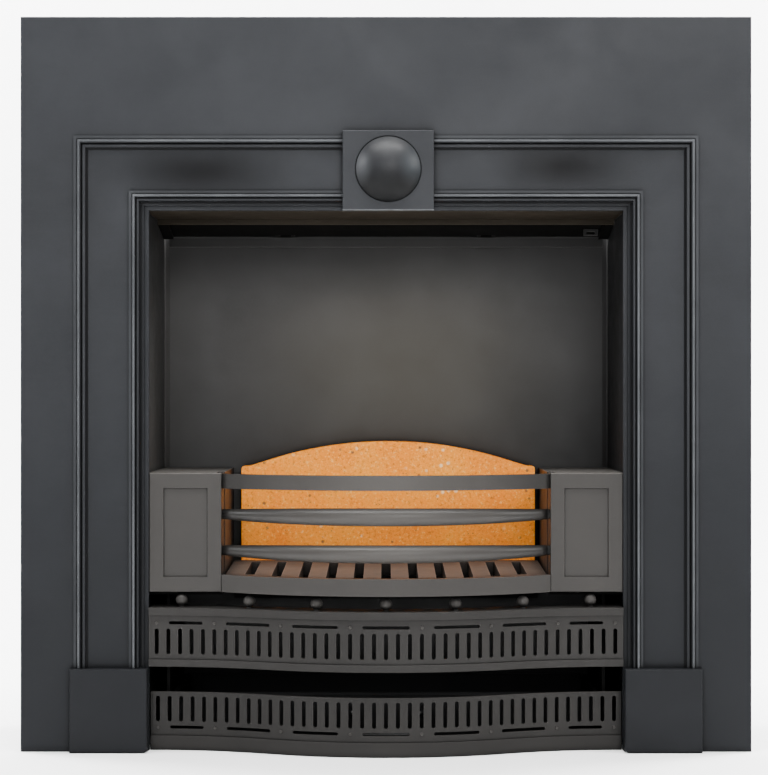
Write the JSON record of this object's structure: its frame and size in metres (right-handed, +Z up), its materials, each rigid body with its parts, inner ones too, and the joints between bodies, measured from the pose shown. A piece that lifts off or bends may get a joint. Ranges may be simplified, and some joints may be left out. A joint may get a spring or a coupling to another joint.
{
  "type": "fireplace insert",
  "caption": "Cast-iron hob-grate fireplace insert: moulded facia with bossed tablet, bowed bars over a fire brick, pierced bowed frets, damper and ash pan.",
  "frame": {"origin": "bottom centre of the bounding box, on the hearth", "axes": "+X to the right seen from the room, +Y into the chimney, +Z up"},
  "size_m": [0.965, 0.2964, 0.97],
  "materials": {
    "facia_iron": "matte, black-leaded, cool charcoal",
    "hob_iron": "matte, slightly warmer grey, fine sand-cast texture",
    "firebox_iron": "matte, dark, heat-dulled",
    "grate_iron": "matte, brownish",
    "brick": "matte fired clay with dark and cream grog specks",
    "sheet_steel": "matt black",
    "steel_fixing": "dull, blackened"
  },
  "bodies": {
    "insert": {"facia_casting": "facia_iron", "plinth_left": "facia_iron", "plinth_right": "facia_iron", "keystone_tablet": "facia_iron", "boss_dome": "facia_iron", "boss_stud_nut": "steel_fixing", "side_plate_left": "firebox_iron", "side_plate_right": "firebox_iron", "back_plate": "firebox_iron", "hinge_rail": "firebox_iron", "damper_hinge_lugs": "firebox_iron", "damper_hinge_pins": "steel_fixing", "throat_shelf": "firebox_iron", "damper_ledges": "firebox_iron", "hob_left": "hob_iron", "hob_right": "hob_iron", "hob_base_left": "firebox_iron", "hob_base_right": "firebox_iron", "pit_wall_left": "firebox_iron", "pit_wall_right": "firebox_iron", "front_rail": "hob_iron", "rear_ledge": "firebox_iron", "fire_brick": "brick", "upper_fret_ledge": "hob_iron", "upper_fret_plate": "hob_iron", "upper_fret_rivets": "hob_iron", "upper_fret_foot": "hob_iron", "fret_brackets": "firebox_iron", "frieze_balls": "hob_iron", "casing_bolts": "steel_fixing", "back_plate_bolts": "steel_fixing", "plinth_screws": "steel_fixing"},
    "damper": {"damper_flap": "firebox_iron", "damper_pull": "firebox_iron"},
    "front_bars": {"bar_end_left": "hob_iron", "bar_end_right": "hob_iron", "bar_top_flat": "hob_iron", "bar_middle": "hob_iron", "bar_lower": "hob_iron"},
    "bottom_grate_body": {"bottom_grate": "grate_iron"},
    "ashpit_cover": {"cover_plate": "hob_iron", "cover_rivets": "hob_iron", "cover_base": "hob_iron"},
    "ash_pan_body": {"ash_pan": "sheet_steel", "bail_ears": "sheet_steel"},
    "pan_bail": {"ash_pan_bail": "steel_fixing"}
  },
  "joints": [
    {"name": "damper_tilt", "type": "hinge", "parent": "insert", "child": "damper", "pos_m": [0, 0.13225, 0.7045], "axis": [-1, 0, 0], "range_deg": [0, 65]},
    {"name": "front_bars_lift", "type": "slide", "parent": "insert", "child": "front_bars", "axis": [0, 0, 1], "range_m": [0, 0.12]},
    {"name": "grate_lift", "type": "slide", "parent": "insert", "child": "bottom_grate_body", "axis": [0, 0, 1], "range_m": [0, 0.1]},
    {"name": "cover_out", "type": "slide", "parent": "insert", "child": "ashpit_cover", "axis": [0, -1, 0], "range_m": [0, 0.42]},
    {"name": "pan_out", "type": "slide", "parent": "insert", "child": "ash_pan_body", "axis": [0, -1, 0], "range_m": [0, 0.34]},
    {"name": "bail_swing", "type": "hinge", "parent": "ash_pan_body", "child": "pan_bail", "pos_m": [0, -0.05625, 0.046], "axis": [-1, 0, 0], "range_deg": [0, 85]}
  ],
  "couplings": [
    {"joint": "pan_out", "follows": "cover_out", "ratio": 0.8}
  ]
}
